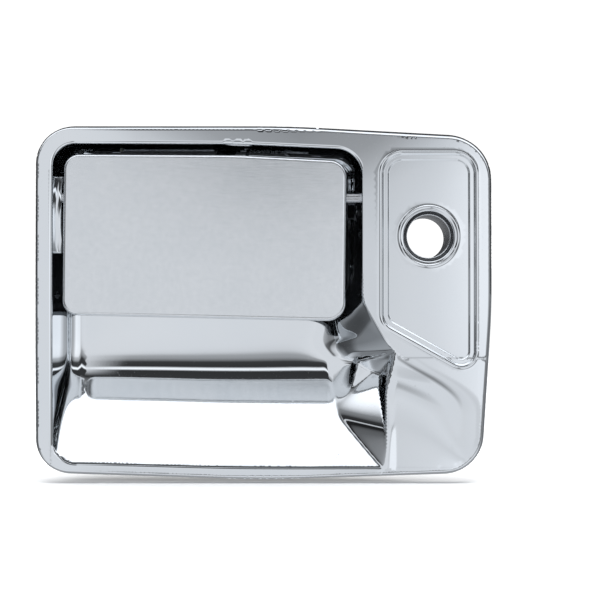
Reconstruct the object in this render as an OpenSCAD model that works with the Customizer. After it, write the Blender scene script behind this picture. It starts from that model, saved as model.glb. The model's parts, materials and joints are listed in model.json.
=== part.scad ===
// Exterior door handle of the paddle type: a plated bezel with a finger bucket and a lock
// panel, a top-hung paddle, and the release lever behind it. The bezel lies in the XZ plane
// with its face to -Y, and the door skin's outer surface is the plane y = 0. The origin is
// on the lock axis. Modules draw in the bezel's own centred coordinates, and placed() moves them.

/* [Bezel] */
// Width of the bezel
bezel_w = 189; // [175:1:230]
// Height of the bezel
bezel_h = 147; // [140:1:178]
// How far the middle of the face stands off the door skin
face_stand = 9; // [8:0.5:12]
// Wall of the plated shell
shell_t = 2; // [1.6:0.1:2.4]
// Radius of the face's crown from top to bottom
crown_r = 1400; // [1200:50:3000]
// Border left of the finger bucket
border_side = 8.3; // [7:0.1:11]
// Border above the finger bucket
border_top = 8; // [6:0.5:11]
// Border below the finger bucket
border_bottom = 5; // [4:0.5:8]
// How far the top edge falls and the bottom edge bows over the width
edge_bow = 3; // [1:0.5:5]
// Radius of the bezel's corners
corner_r = 16; // [12:1:20]

/* [Finger bucket] */
// Width of the bucket's mouth
mouth_w = 127; // [120:0.5:140]
// Depth of the back wall below the face
bucket_depth = 30; // [28:0.5:36]
// Height of the ramp, from the mouth's lower edge to the back wall
ramp_h = 43; // [38:1:50]
// How far each wall closes in from the mouth to the back
bucket_draft = 3.7; // [2.5:0.1:4.5]
// Depth of the thumb scoop at its deepest
scoop_depth = 18; // [12:0.5:20]

/* [Lock panel] */
// Lock axis from the bezel's right edge
lock_from_right = 26.5; // [25:0.5:30]
// Lock axis from the bezel's top edge
lock_from_top = 46; // [44:0.5:52]
// Radius of the lock cylinder's seat
lock_r = 8.8; // [8:0.1:9.6]
// Length of the lock sleeve
lock_sleeve_l = 26; // [22:1:32]
// Width of the recessed panel
panel_w = 32; // [30:0.5:36]
// Depth of the recessed panel
panel_depth = 1.6; // [1:0.1:2]

/* [Paddle] */
// Width of the paddle
paddle_w = 117; // [108:0.5:118]
// Height of the paddle
paddle_h = 68; // [62:0.5:72]
// Gap between the paddle and the bucket's left and top walls
paddle_gap = 3.9; // [3.5:0.1:6]
// Wall of the paddle's plated skin
skin_t = 1.8; // [1.5:0.1:2]
// Depth of the skin's turned edges
paddle_edge = 9; // [8:0.5:11]
// Greatest opening angle
paddle_travel = 28; // [20:1:28]

/* [Hinge] */
// Diameter of the hinge pin
pin_d = 4; // [3.5:0.1:4.4]
// Pin axis below the paddle's top edge
hinge_drop = 18; // [16:0.5:22]
// Gap between the hinge pin and the carrier's plate
hinge_gap = 0.2; // [0.2:0.1:0.6]
// How far behind the base frame the paddle's tail carries its pad
tail_behind = 11.2; // [11:0.1:14]
// Running clearance on the radius of every pivot
running = 0.05; // [0.03:0.01:0.08]

/* [Fixings] */
// Diameter of the fixing studs
stud_d = 6; // [5:0.5:8]
// Distance between the fixing studs
stud_pitch = 58; // [54:1:70]
// How far the studs reach into the door
stud_l = 22; // [16:1:30]
// Diameter of the latch rod
rod_d = 4; // [3:0.1:5]
// Latch rod's clip from the release lever's pivot
rod_arm = 24; // [20:1:26]

/* [Hidden] */

$fn = 48;
arc_n = 8;            // steps in each rounded corner of an outline
fit_gap = 0.3;        // between parts that nest without touching
base_t = 2;           // wall of the base frame
over = 2;             // how far a cutting shape runs past what it cuts

// Depths, along y
y_face = -face_stand;
y_back = y_face + bucket_depth;
y_rear = y_back + shell_t + fit_gap + base_t;
y_paddle = y_face - 0.5;
plate_t = 2.4;        // the carrier's plate
plate_gap = 1.6;      // between the plate and the skin
y_plate = y_paddle + skin_t + plate_gap + plate_t;
y_hinge = y_plate + pin_d/2 + hinge_gap;
y_tail = y_rear + tail_behind;
tail_l = y_tail - y_hinge;
lever_t = 2;
y_lever = y_rear + 2.5;

// Places in the bezel's own coordinates, x to the right and v up
left_x = -bezel_w/2;
right_x = bezel_w/2;
top_v = bezel_h/2;
bottom_v = -bezel_h/2;
lock = [right_x - lock_from_right, top_v - lock_from_top];
mouth_l = left_x + border_side;
mouth_r = mouth_l + mouth_w;
mouth_t = top_v - border_top;
mouth_b = bottom_v + border_bottom;
back_b = mouth_b + ramp_h;
paddle_l = mouth_l + paddle_gap;
paddle_r = paddle_l + paddle_w;
paddle_t = mouth_t - paddle_gap;
paddle_b = paddle_t - paddle_h;
hinge_v = paddle_t - hinge_drop;

// Flange of the base frame, clear of the recessed panel's rear where the crown falls furthest back
flange_t = 1.8;
crown_fall = crown_r - sqrt(crown_r*crown_r - mouth_t*mouth_t);
lock_front = y_face + panel_depth + shell_t + crown_fall + fit_gap;
y_flange = lock_front + flange_t;

// Mechanism behind the bucket
wall_v = shell_t + fit_gap + base_t;
tail_x = paddle_l + 64.5;
tail_w = 8;
tail_half = 3;
fork_w = 11;
slot_w = fork_w + 2;
pad_r = 4;
finger_r = 2.5;       // the lever's finger under the wear pad
contact_gap = 0.15;
lever_v = hinge_v - pad_r - contact_gap - finger_r;
lever_x = tail_x + 2 - tail_l;
pivot_r = 2.5;
bush_t = 1.1;
spring_wire_r = 0.7;
spring_mean_r = pin_d/2 + 0.9 + spring_wire_r;
spring_x = [tail_x + 9, tail_x + 25];
hub_w = 12;
hub_r = 4.6;
hub_x = [paddle_l + 5, paddle_r - 5 - hub_w];
stud_boss_r = stud_d/2 + 3;
neck_r = stud_d/2 + 0.4;     // the stud's neck, as deep as the base's boss
stop_drop = (y_rear - y_hinge + 2.2) * tan(paddle_travel) + (tail_half + 0.4) / cos(paddle_travel);

// ---- Outlines ------------------------------------------------------------------------

function unit(a) = a / norm(a);

// Arc of radius r + g round the centre of a fillet of radius r at corner b
function fillet(a, b, c, r, g) =
    let (u = unit(a - b), w = unit(c - b), half = acos(u*w)/2)
    let (m = b + unit(u + w) * r/sin(half), p = b + u*r/tan(half) - m, start = atan2(p.y, p.x))
    [for (i = [0:arc_n]) let (turn = start + (180 - 2*half)*i/arc_n) m + (r + g)*[cos(turn), sin(turn)]];

// A convex outline from [corner, radius] pairs, counter-clockwise, grown by g
function rounded(k, g = 0) =
    let (n = len(k))
    [for (i = [0:n-1]) each fillet(k[(i + n - 1) % n][0], k[i][0], k[(i + 1) % n][0], k[i][1], g)];

function bezel_outline(g = 0) = rounded([
    [[left_x, bottom_v + edge_bow], corner_r - 1],
    [[0, bottom_v], 500],
    [[right_x - edge_bow - 1, bottom_v + edge_bow], corner_r + 1],
    [[right_x, -edge_bow], 300],
    [[right_x, top_v - edge_bow - 1.5], corner_r + 3],
    [[bezel_w/18, top_v], 500],
    [[left_x, top_v], corner_r]], g);

function mouth_outline(g = 0) = rounded([
    [[mouth_l, mouth_b + 1], 8],
    [[mouth_r - 8, mouth_b - 0.5], 8],
    [[mouth_r, back_b], 30],
    [[mouth_r, mouth_t - 2.5], 11],
    [[mouth_l + mouth_w*0.6, mouth_t - 0.3], 300],
    [[mouth_l, mouth_t], 9]], g);

function back_outline(g = 0) = rounded([
    [[mouth_l + bucket_draft, back_b], 4],
    [[mouth_r - bucket_draft - 5, back_b - 1], 12],
    [[mouth_r - bucket_draft, back_b + 16], 20],
    [[mouth_r - bucket_draft, mouth_t - 2.5 - bucket_draft], 8],
    [[mouth_l + mouth_w*0.6, mouth_t - 0.3 - bucket_draft], 300],
    [[mouth_l + bucket_draft, mouth_t - bucket_draft], 6]], g);

// The thumb scoop's edge on the face, right of the mouth, and its floor beside the ramp
function scoop_edge(g = 0) = rounded([
    [[mouth_r - 6, mouth_b + 1.5], 2],
    [[right_x - 14, mouth_b + 2], 12],
    [[right_x - 9, bottom_v + 21], 14],
    [[right_x - 9, bottom_v + 36], 8],
    [[mouth_r + 14, back_b + 4], 60],
    [[mouth_r - 6, back_b + 14], 3]], g);

function scoop_floor(g = 0) = rounded([
    [[mouth_r - 12, mouth_b + 16], 2],
    [[mouth_r + 3, mouth_b + 16], 6],
    [[mouth_r + 8, mouth_b + 21], 6],
    [[mouth_r + 8, mouth_b + 29], 6],
    [[mouth_r + 4, back_b - 6], 6],
    [[mouth_r - 12, back_b + 4], 2]], g);

// The right wall's flare above the scoop, from the face to the back wall
function flare_edge(g = 0) = rounded([
    [[mouth_r - 12, back_b - 4], 2],
    [[mouth_r + 14, back_b + 4], 6],
    [[mouth_r, back_b + 32], 20],
    [[mouth_r - 12, back_b + 32], 2]], g);

function flare_floor(g = 0) = rounded([
    [[mouth_r - 22, back_b + 3], 2],
    [[mouth_r - 6, back_b + 5], 5],
    [[mouth_r - bucket_draft, back_b + 24], 6],
    [[mouth_r - 22, back_b + 24], 2]], g);

panel_r_x = right_x - 10.5;
function panel_outline(g = 0) = rounded([
    [[panel_r_x - panel_w, lock.y - 34], 6],
    [[panel_r_x, lock.y - 54], 3.4],
    [[panel_r_x, mouth_t - 7], 5.6],
    [[panel_r_x - panel_w, mouth_t - 7], 5.6]], g);

function paddle_outline(g = 0) = rounded([
    [[paddle_l - 0.6, paddle_b + 1.3], 6.5],
    [[paddle_r - 0.8, paddle_b - 1.3], 7.5],
    [[paddle_r, paddle_t - 2.8], 7.5],
    [[paddle_l + paddle_w*0.6, paddle_t - 0.4], 300],
    [[paddle_l, paddle_t], 6.5]], g);

// ---- Building blocks -----------------------------------------------------------------

// Moves the bezel's own coordinates to the part's frame, with the lock axis at the origin
module placed() { translate([-lock.x, 0, -lock.y]) children(); }

// A solid through outlines with equal numbers of points, from front to back: [[points, y], ...]
module loft(sections) {
    n = len(sections[0][0]);
    last = len(sections) - 1;
    points = [for (s = sections) each [for (p = s[0]) [p.x, s[1], p.y]]];
    sides = [for (k = [0:last-1], i = [0:n-1])
        [k*n + i, k*n + (i + 1) % n, (k + 1)*n + (i + 1) % n, (k + 1)*n + i]];
    polyhedron(points, concat([[for (i = [n-1:-1:0]) i]], [[for (i = [0:n-1]) last*n + i]], sides));
}

// A prism of a 2D child from y0 back to y1
module prism(y0, y1) { translate([0, y1, 0]) rotate([90, 0, 0]) linear_extrude(y1 - y0) children(); }

// A cylinder along y, from y0 back to y1, at [x, v]
module post(at, r, y0, y1) { translate([at.x, y1, at.y]) rotate([90, 0, 0]) cylinder(r = r, h = y1 - y0); }

// A cylinder along x, from x0 to x1, at [y, v]
module rod(at, r, x0, x1) { translate([x0, at.x, at.y]) rotate([0, 90, 0]) cylinder(r = r, h = x1 - x0); }

// A box between two corners
module block(a, b) { translate(a) cube(b - a); }

// Everything behind the crowned face, sunk by depth
module behind_crown(depth) {
    rod([y_face + crown_r, 0], crown_r - depth, left_x - over, right_x + over, $fn = 240);
}

// A round bar of radius r along a path, closed at both ends
module wire(path, r, sides = 8) {
    n = len(path);
    dir = [for (i = [0:n-1]) unit(path[min(i + 1, n - 1)] - path[max(i - 1, 0)])];
    side = [for (d = dir) unit(cross(d, abs(d.x) < 0.8 ? [1, 0, 0] : [0, 0, 1]))];
    up = [for (i = [0:n-1]) cross(dir[i], side[i])];
    points = [for (i = [0:n-1], j = [0:sides-1]) path[i]
        + r*(cos(360*j/sides)*side[i] + sin(360*j/sides)*up[i])];
    polyhedron(points, concat([[for (j = [0:sides-1]) j]], [[for (j = [sides-1:-1:0]) (n - 1)*sides + j]],
        [for (i = [0:n-2], j = [0:sides-1])
            [i*sides + j, (i + 1)*sides + j, (i + 1)*sides + (j + 1) % sides, i*sides + (j + 1) % sides]]));
}

// The bucket with its flare and scoop, grown by g, those two by slack as well, and drawn
// forward to y0
module hollow(g, y0, slack = 0) {
    h = g + slack;
    deep = y_back + g;
    loft([[mouth_outline(g), y0], [mouth_outline(g), y_face], [back_outline(g), deep]]);
    loft([[scoop_edge(h), y0], [scoop_edge(h), y_face + 1], [scoop_floor(h), y_face + scoop_depth + h]]);
    loft([[flare_edge(h), y0], [flare_edge(h), y_face + 1], [flare_floor(h), deep - 3]]);
}

// ---- Bezel ---------------------------------------------------------------------------

screw_r = 1.4;
pilot_y = y_face + 4.2;      // front of the pilot holes
boss_r = 2.6;
head_share = 1.4;            // a screw head's radius over its shank's
head_h_share = 1.1;
bezel_screw_at = [
    [mouth_l + 31, mouth_b + 3.15], [mouth_r - 31, mouth_b + 1.9], [right_x - 14.5, bottom_v + 15.5],
    [right_x - 11, top_v - 16], [mouth_r + 8, mouth_t - 1.2]];
collar_r = lock_r + 2.6;
lug_v = [hinge_v - 23, hinge_v + 9];      // hinge lug on the bucket's left wall, bottom and top
lug_x = paddle_l - 1.2;

module tail_slot(y0, y1, up, down) {
    block([tail_x - slot_w/2, y0, hinge_v - down], [tail_x + slot_w/2, y1, hinge_v + up]);
}

module bezel_body() {
    difference() {
        loft([[bezel_outline(-3), y_face - 1], [bezel_outline(-0.5), y_face + 3.4], [bezel_outline(), 0]]);
        intersection() {
            loft([[bezel_outline(-shell_t - 1.2), y_face], [bezel_outline(-shell_t - 0.5), y_face + 4],
                [bezel_outline(-shell_t), over]]);
            behind_crown(shell_t);
        }
    }
    difference() {
        loft([[panel_outline(3.6 + shell_t), y_face], [panel_outline(shell_t), y_face + panel_depth + 6]]);
        behind_crown(panel_depth + shell_t);
    }
    hollow(shell_t, y_face - 0.8);
    post(lock, collar_r, y_face + 1, lock_front - 0.2);
    for (p = bezel_screw_at) post(p, boss_r, y_face + 1.5, lock_front - 0.1);
}

module bezel() color([0.82, 0.84, 0.86]) placed() difference() {
    union() {
        difference() {
            intersection() {
                bezel_body();
                behind_crown(0);
            }
            hollow(0, y_face - over);
        }
        block([mouth_l + 0.3, y_hinge - 3.4, lug_v[0]], [lug_x, y_hinge + 7, lug_v[1]]);
    }
    difference() {
        loft([[panel_outline(4.4), y_face - 1], [panel_outline(0.4), y_face + 3.6]]);
        behind_crown(panel_depth);
    }
    translate([lock.x, y_face + panel_depth + 1.9, lock.y]) rotate([90, 0, 0])
        cylinder(r1 = lock_r + 0.25, r2 = lock_r + 4.2, h = 3);
    post(lock, lock_r + 0.2, y_face - over, over);
    for (p = bezel_screw_at) post(p, screw_r, pilot_y, over);
    rod([y_hinge, hinge_v], pin_d/2 + running, mouth_l - 6, mouth_r + 6);
    tail_slot(y_back - over, y_back + 3*over, 6, 18);
}

// ---- Base frame and its fittings -------------------------------------------------------

nest = shell_t + fit_gap;
tower_r = lock_r + 3.6;
sleeve_r = lock_r + 1.6;
gasket_w = 2;
clip_slot_y = [14, 15.6];
stud_at = [for (s = [-1, 1]) lock + [0, s*stud_pitch/2]];
clip_x = mouth_r + wall_v + 0.6;
stop_x = [tail_x - 5, tail_x + 5];

module ribs() {
    for (x = [mouth_l + 22, tail_x + 26, tail_x + 44])
        block([x, y_rear - 1, back_b + 4], [x + 1.6, y_rear + 1.4, mouth_t - 8]);
    for (v = [back_b + 8, back_b + 26])
        block([mouth_l + 8, y_rear - 1, v], [mouth_r - 12, y_rear + 1.4, v + 1.6]);
}

// Walls round the tail slot that hold the two rubber stops
module stop_bracket() {
    block([stop_x[0] - 2, y_rear - 1, hinge_v + 8.2], [stop_x[1] + 2, y_rear + 8, hinge_v + 10.6]);
    for (x = [stop_x[0] - 2, stop_x[1] + 0.4])
        block([x, y_rear - 1, hinge_v + 4.4], [x + 1.6, y_rear + 8, hinge_v + 9]);
}

// Two cross slots for the lock's spring clip, each half_w and half_h either way
module clip_slots(half_w, half_h) {
    for (s = [-1, 1]) let (x = lock.x + s*(lock_r + 2))
        block([x - half_w, clip_slot_y[0], lock.y - half_h], [x + half_w, clip_slot_y[1], lock.y + half_h]);
}

module base_frame() color([0.09, 0.09, 0.1]) placed() difference() {
    union() {
        difference() {
            union() {
                loft([[bezel_outline(-shell_t - 1.3), lock_front],
                    [bezel_outline(-shell_t - 1.1), y_flange]]);
                intersection() {
                    hollow(nest + base_t, y_face - over);
                    block([left_x, lock_front, bottom_v], [right_x, y_rear + over, top_v]);
                }
            }
            hollow(nest, y_face - over, 0.2);
        }
        ribs();
        stop_bracket();
        post(lock, tower_r, lock_front, lock_front + lock_sleeve_l - 2);
        for (p = stud_at) post(p, stud_boss_r, lock_front, 0);
        post([lever_x, lever_v], 5, y_rear - 1, y_lever - 0.3);
        post([lever_x + 11, lever_v - 11], 1.6, y_rear - 1, y_lever - 0.3);
        block([mouth_l - nest - 4.8, 2.1, -9], [mouth_l - nest, 4.1, 9]);
    }
    hollow(nest, y_face - over, 0.2);
    post(lock, sleeve_r + running, lock_front - over, lock_front + lock_sleeve_l);
    post(lock, sleeve_r + 1.2, lock_front - over, lock_front + 1.5);
    for (p = stud_at) {
        post(p, neck_r + running, lock_front - over, over);
        post(p, stud_d/2 + 1.8, lock_front - over, lock_front + 1.8);
    }
    for (p = bezel_screw_at) {
        post(p, screw_r + 0.15, lock_front - over, over);
        post(p, head_share*screw_r + 0.2, y_flange, y_flange + head_h_share*screw_r + 0.3);
    }
    rod([y_hinge, hinge_v], pin_d/2 + running, mouth_l - wall_v - 3, mouth_r + wall_v + 3);
    block([clip_x - 0.5, lock_front - over, hinge_v - 7], [clip_x + 5.5, over, hinge_v + 7]);
    tail_slot(y_back, y_rear + 0.5, 6, stop_drop + 4.5);
    post([lever_x, lever_v], pivot_r - 0.5, y_rear - 4, y_lever + over);
    clip_slots(1.6, 8);
}

module gasket() color([0.12, 0.12, 0.12]) placed() difference() {
    outer = bezel_outline(-shell_t - fit_gap);
    inner = bezel_outline(-shell_t - fit_gap - gasket_w);
    loft([[outer, y_flange], [outer, 0]]);
    loft([[inner, y_flange - over], [inner, over]]);
    for (p = bezel_screw_at) post(p, head_share*screw_r + 0.1, y_flange - over, over);
}

module lock_sleeve() color([0.7, 0.7, 0.72]) placed() difference() {
    union() {
        post(lock, sleeve_r, lock_front, lock_front + lock_sleeve_l);
        post(lock, sleeve_r + 1, lock_front, lock_front + 1.4);
    }
    post(lock, lock_r, lock_front - over, lock_front + lock_sleeve_l + over);
    clip_slots(3, 3);
}

module studs() color([0.76, 0.74, 0.6]) placed() for (p = stud_at) {
    post(p, neck_r, lock_front + 0.2, 0);
    post(p, stud_d/2, -over, stud_l);
    post(p, stud_d/2 + 1.7, lock_front + 0.1, lock_front + 1.75);
}

// A pan-head screw whose head sits on the plane y = seat and whose shank points to -Y
module screw(at, r, seat, l) {
    post(at, r, seat - l, seat);
    difference() {
        post(at, head_share*r, seat, seat + head_h_share*r);
        for (a = [0, 90]) translate([at.x, seat + 1.2*r, at.y]) rotate([0, a, 0])
            cube([0.5*r, 1.2*r, 2.2*r], center = true);
    }
}

module bezel_screws() color([0.7, 0.7, 0.72]) placed()
    for (p = bezel_screw_at) screw(p, screw_r, y_flange, y_flange - pilot_y - 0.3);

// ---- Paddle ----------------------------------------------------------------------------

skin_screw_at = [for (x = [hub_x[0] + 9, hub_x[1] + 3], v = [paddle_b + 10, hinge_v - 12]) [x, v]];
skin_pilot_y = y_paddle + skin_t + 0.2;

module skin_body(g, depth, y1) {
    intersection() {
        loft([[paddle_outline(-g - 1.6), y_paddle - 0.6], [paddle_outline(-g), y_paddle + 2.2],
            [paddle_outline(-g), y1]]);
        behind_crown(depth - 0.5);
    }
}

module paddle_skin() color([0.8, 0.83, 0.85]) placed() difference() {
    union() {
        difference() {
            skin_body(0, 0, y_paddle + paddle_edge);
            skin_body(skin_t, skin_t, y_paddle + paddle_edge + over);
        }
        intersection() {
            union() for (p = skin_screw_at) post(p, 2.6, y_paddle, y_plate - plate_t - 0.05);
            behind_crown(0);
        }
    }
    for (p = skin_screw_at) post(p, screw_r, skin_pilot_y, y_plate);
    for (x = [paddle_l, paddle_r]) rod([y_hinge, hinge_v], pin_d/2 + 0.5, x - 4, x + 4);
}

module paddle_carrier() color([0.11, 0.11, 0.12]) placed() difference() {
    union() {
        intersection() {
            loft([[paddle_outline(-skin_t - fit_gap), y_plate - plate_t],
                [paddle_outline(-skin_t - fit_gap), y_plate]]);
            behind_crown(skin_t - 0.4);
        }
        for (x = hub_x) rod([y_hinge, hinge_v], hub_r, x, x + hub_w);
        rod([y_hinge, hinge_v], hub_r, tail_x - fork_w/2, tail_x + fork_w/2);
        block([tail_x - tail_w/2, y_hinge, hinge_v - tail_half],
            [tail_x + tail_w/2, y_tail - 7, hinge_v + tail_half]);
        for (x = [tail_x - fork_w/2, tail_x + fork_w/2 - 2]) {
            block([x, y_tail - 10, hinge_v - 2.6], [x + 2, y_tail, hinge_v + 2.6]);
            rod([y_tail, hinge_v], 2.6, x, x + 2);
        }
        block([tail_x - fork_w/2, y_tail - 10, hinge_v - 2.6],
            [tail_x + fork_w/2, y_tail - 7, hinge_v + 2.6]);
        // stiffening ribs down the back of the plate, and the grip bead along its foot
        for (x = [hub_x[0] + 2, tail_x - 1, hub_x[1] + hub_w - 4])
            block([x, y_plate - 0.5, paddle_b + 5], [x + 2, y_plate + 2.2, hinge_v]);
        block([paddle_l + 5, y_plate - 0.5, paddle_b + 4.4], [paddle_r - 6, y_plate + 2.8, paddle_b + 6.4]);
    }
    for (x = hub_x) rod([y_hinge, hinge_v], pin_d/2 + running + bush_t, x - 1, x + hub_w + 1);
    for (x = hub_x) rod([y_hinge, hinge_v], hub_r, x + hub_w, x + hub_w + 1.3);
    rod([y_hinge, hinge_v], pin_d/2 + 0.3, tail_x - fork_w, tail_x + fork_w);
    rod([y_tail, hinge_v], 1.5, tail_x - fork_w, tail_x + fork_w);
    block([spring_x[0] - 2.4, y_plate - 6, hinge_v - 5.4],
        [spring_x[1] + 2.4, y_plate + 0.2, hinge_v + 5.4]);
    for (p = skin_screw_at) post(p, screw_r + 0.15, y_paddle, over + 4);
}

module skin_screws() color([0.7, 0.7, 0.72]) placed()
    for (p = skin_screw_at) screw(p, screw_r, y_plate, y_plate - skin_pilot_y - 0.2);

// ---- Hinge -----------------------------------------------------------------------------

pin_x = [mouth_l - wall_v + 0.4, clip_x + 2.6];

module hinge_pin() color([0.78, 0.78, 0.8]) placed() difference() {
    rod([y_hinge, hinge_v], pin_d/2, pin_x[0], pin_x[1]);
    difference() {
        rod([y_hinge, hinge_v], pin_d/2 + 1, clip_x + 0.3, clip_x + 1.2);
        rod([y_hinge, hinge_v], pin_d/2 - 0.5, clip_x, clip_x + 2);
    }
}

module pin_clip() color([0.25, 0.25, 0.27]) placed() difference() {
    rod([y_hinge, hinge_v], pin_d/2 + 2.2, clip_x + 0.4, clip_x + 1.1);
    rod([y_hinge, hinge_v], pin_d/2 - 0.48, clip_x, clip_x + 2);
    block([clip_x, y_hinge, hinge_v - pin_d/2 + 0.7], [clip_x + 2, y_hinge + 8, hinge_v + pin_d/2 - 0.7]);
}

module bush(x) {
    difference() {
        union() {
            rod([y_hinge, hinge_v], pin_d/2 + running + bush_t, x, x + hub_w);
            rod([y_hinge, hinge_v], hub_r - 0.3, x + hub_w, x + hub_w + 1);
        }
        rod([y_hinge, hinge_v], pin_d/2 + running, x - 1, x + hub_w + over);
    }
}

module left_bush() color([0.92, 0.9, 0.84]) placed() bush(hub_x[0]);
module right_bush() color([0.92, 0.9, 0.84]) placed() bush(hub_x[1]);

// Torsion spring: one leg back to the bucket's wall, the other down the carrier's plate
spring_turns = 8;
module return_spring() color([0.55, 0.56, 0.58]) placed() {
    r = spring_mean_r;
    steps = spring_turns*14;
    coil = [for (i = [0:steps]) [
        spring_x[0] + (spring_x[1] - spring_x[0])*i/steps,
        y_hinge + r*sin(360*(spring_turns + 0.25)*i/steps),
        hinge_v + r*cos(360*(spring_turns + 0.25)*i/steps)]];
    back_leg = [[spring_x[0], y_back - 0.1, hinge_v + r], [spring_x[0], y_hinge + 6, hinge_v + r]];
    down_leg = [[spring_x[1], y_hinge + r, hinge_v - 4],
        [spring_x[1], y_plate + spring_wire_r + 0.15, hinge_v - 11],
        [spring_x[1], y_plate + spring_wire_r + 0.15, hinge_v - 26]];
    wire(concat(back_leg, coil, down_leg), spring_wire_r);
}

module tail_pad() color([0.92, 0.9, 0.84]) placed() difference() {
    rod([y_tail, hinge_v], pad_r, tail_x - fork_w/2 + 2.2, tail_x + fork_w/2 - 2.2);
    rod([y_tail, hinge_v], 1.5, tail_x - fork_w, tail_x + fork_w);
}

module pad_pin() color([0.78, 0.78, 0.8]) placed()
    rod([y_tail, hinge_v], 1.5, tail_x - fork_w/2 - 0.4, tail_x + fork_w/2 + 0.4);

// ---- Rubber stops ----------------------------------------------------------------------

module rest_bumper() color([0.07, 0.07, 0.07]) placed() {
    block([tail_x - 3.6, y_rear + 0.2, hinge_v + tail_half + 0.1],
        [tail_x + 3.6, y_rear + 7.6, hinge_v + 8.2]);
}

module travel_bumper() color([0.07, 0.07, 0.07]) placed() {
    block([tail_x - 5, y_back + shell_t + fit_gap + 0.2, hinge_v - stop_drop - 4.4],
        [tail_x + 5, y_rear + 2.2, hinge_v - stop_drop]);
}

// ---- Release lever ---------------------------------------------------------------------

lever_at = [lever_x, lever_v];
rod_at = [lever_x - rod_arm, lever_v];
weight_at = [lever_x - 3, lever_v + 18];
clip_pin_r = 2.4;

module link(a, ra, b, rb) {
    hull() {
        translate(a) circle(ra, $fn = 32);
        translate(b) circle(rb, $fn = 32);
    }
}

module release_lever() color([0.8, 0.78, 0.66]) placed() difference() {
    union() {
        prism(y_lever, y_lever + lever_t) {
            link(lever_at, 7.5, rod_at, 5);
            link(lever_at, 7.5, lever_at + [tail_l - 12, 0], 2);
            link(lever_at + [tail_l - 12, 0], 2, lever_at + [tail_l, 0], 2);
            link(lever_at, 7, weight_at, 5.4);
        }
        post(lever_at + [tail_l, 0], finger_r, y_lever, y_tail + 4);
    }
    post(lever_at, pivot_r + running + bush_t, y_lever - over, y_lever + lever_t + over);
    post(rod_at, clip_pin_r + running, y_lever - over, y_lever + lever_t + over);
    post(weight_at, 2, y_lever - over, y_lever + lever_t + over);
}

module lever_bush() color([0.92, 0.9, 0.84]) placed() difference() {
    union() {
        post(lever_at, pivot_r + running + bush_t, y_lever, y_lever + lever_t);
        post(lever_at, pivot_r + 3, y_lever + lever_t, y_lever + lever_t + 0.8);
    }
    post(lever_at, pivot_r + running, y_lever - over, y_lever + 3*lever_t);
}

module lever_pivot() color([0.78, 0.78, 0.8]) placed() {
    difference() {
        union() {
            post(lever_at, pivot_r, y_lever - 0.25, y_lever + lever_t + 1);
            post(lever_at, 5, y_lever + lever_t + 1, y_lever + lever_t + 3);
        }
        post(lever_at, 2.2, y_lever + lever_t + 2, y_lever + lever_t + 4, $fn = 6);
    }
    post(lever_at, pivot_r - 0.55, y_rear - base_t + 0.1, y_lever);
}

// Torsion spring round the pivot boss: one leg on the base frame's post, the other on the lever
module lever_spring() color([0.55, 0.56, 0.58]) placed() {
    r = 6.3;
    w = 0.45;
    turns = 1.6;
    steps = 30;
    coil = [for (i = [0:steps]) [
        lever_x + r*cos(-45 + 360*turns*i/steps),
        y_rear + w + 0.15 + 1.35*i/steps,
        lever_v + r*sin(-45 + 360*turns*i/steps)]];
    end = -45 + 360*turns;
    post_leg = [[lever_x + 9.1, y_rear + w + 0.15, lever_v - 13.5],
        [lever_x + 8.2, y_rear + w + 0.15, lever_v - 9]];
    lever_leg = [[lever_x + r*cos(end) - 3.5, y_rear + w + 1.5, lever_v + r*sin(end) + 3.5],
        [lever_x + r*cos(end) - 9, y_rear + w + 1.5, lever_v + r*sin(end) + 6],
        [lever_x + r*cos(end) - 9.6, y_lever + lever_t, lever_v + r*sin(end) + 6.2]];
    wire(concat(post_leg, coil, lever_leg), w);
}

module counterweight() color([0.6, 0.6, 0.62]) placed() difference() {
    union() {
        post(weight_at, 6.6, y_lever + lever_t, y_lever + lever_t + 7);
        post(weight_at, 5.9, y_lever + lever_t, y_lever + lever_t + 7.7);
    }
    post(weight_at, 2, y_lever, y_lever + lever_t + 9);
}

module counterweight_rivet() color([0.78, 0.78, 0.8]) placed() {
    post(weight_at, 2, y_lever, y_lever + lever_t + 7.7);
    post(weight_at, 3.4, y_lever - 1.2, y_lever);
    post(weight_at, 3.4, y_lever + lever_t + 7.7, y_lever + lever_t + 8.8);
}

// Swivelling clip for the latch rod
clip_y = [y_lever + lever_t + 0.2, y_lever + lever_t + 8.2];
module rod_clip() color([0.9, 0.88, 0.8]) placed() difference() {
    union() {
        post(rod_at, clip_pin_r, y_lever - 1.4, clip_y[0] + 1);
        post(rod_at, clip_pin_r + 0.9, y_lever - 1.6, y_lever - 0.2);
        block([rod_at.x - 4.5, clip_y[0], rod_at.y - 7], [rod_at.x + 4.5, clip_y[1], rod_at.y + 5]);
    }
    translate([rod_at.x, (clip_y[0] + clip_y[1])/2, rod_at.y - 7 - over])
        cylinder(r = rod_d/2 + 0.1, h = 12 + 2*over);
    block([rod_at.x - 5, (clip_y[0] + clip_y[1])/2 - 0.5, rod_at.y - 7 - over],
        [rod_at.x - rod_d/4, (clip_y[0] + clip_y[1])/2 + 0.5, rod_at.y - 1]);
}

// ---- Output ----------------------------------------------------------------------------

bezel();
base_frame();
gasket();
lock_sleeve();
studs();
bezel_screws();
paddle_skin();
paddle_carrier();
skin_screws();
hinge_pin();
pin_clip();
left_bush();
right_bush();
return_spring();
tail_pad();
pad_pin();
rest_bumper();
travel_bumper();
release_lever();
lever_bush();
lever_pivot();
lever_spring();
counterweight();
counterweight_rivet();
rod_clip();
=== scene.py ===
import json
import math

import bmesh
import bpy
import numpy as np
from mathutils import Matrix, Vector
from mathutils.bvhtree import BVHTree
from mathutils.geometry import delaunay_2d_cdt


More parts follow.
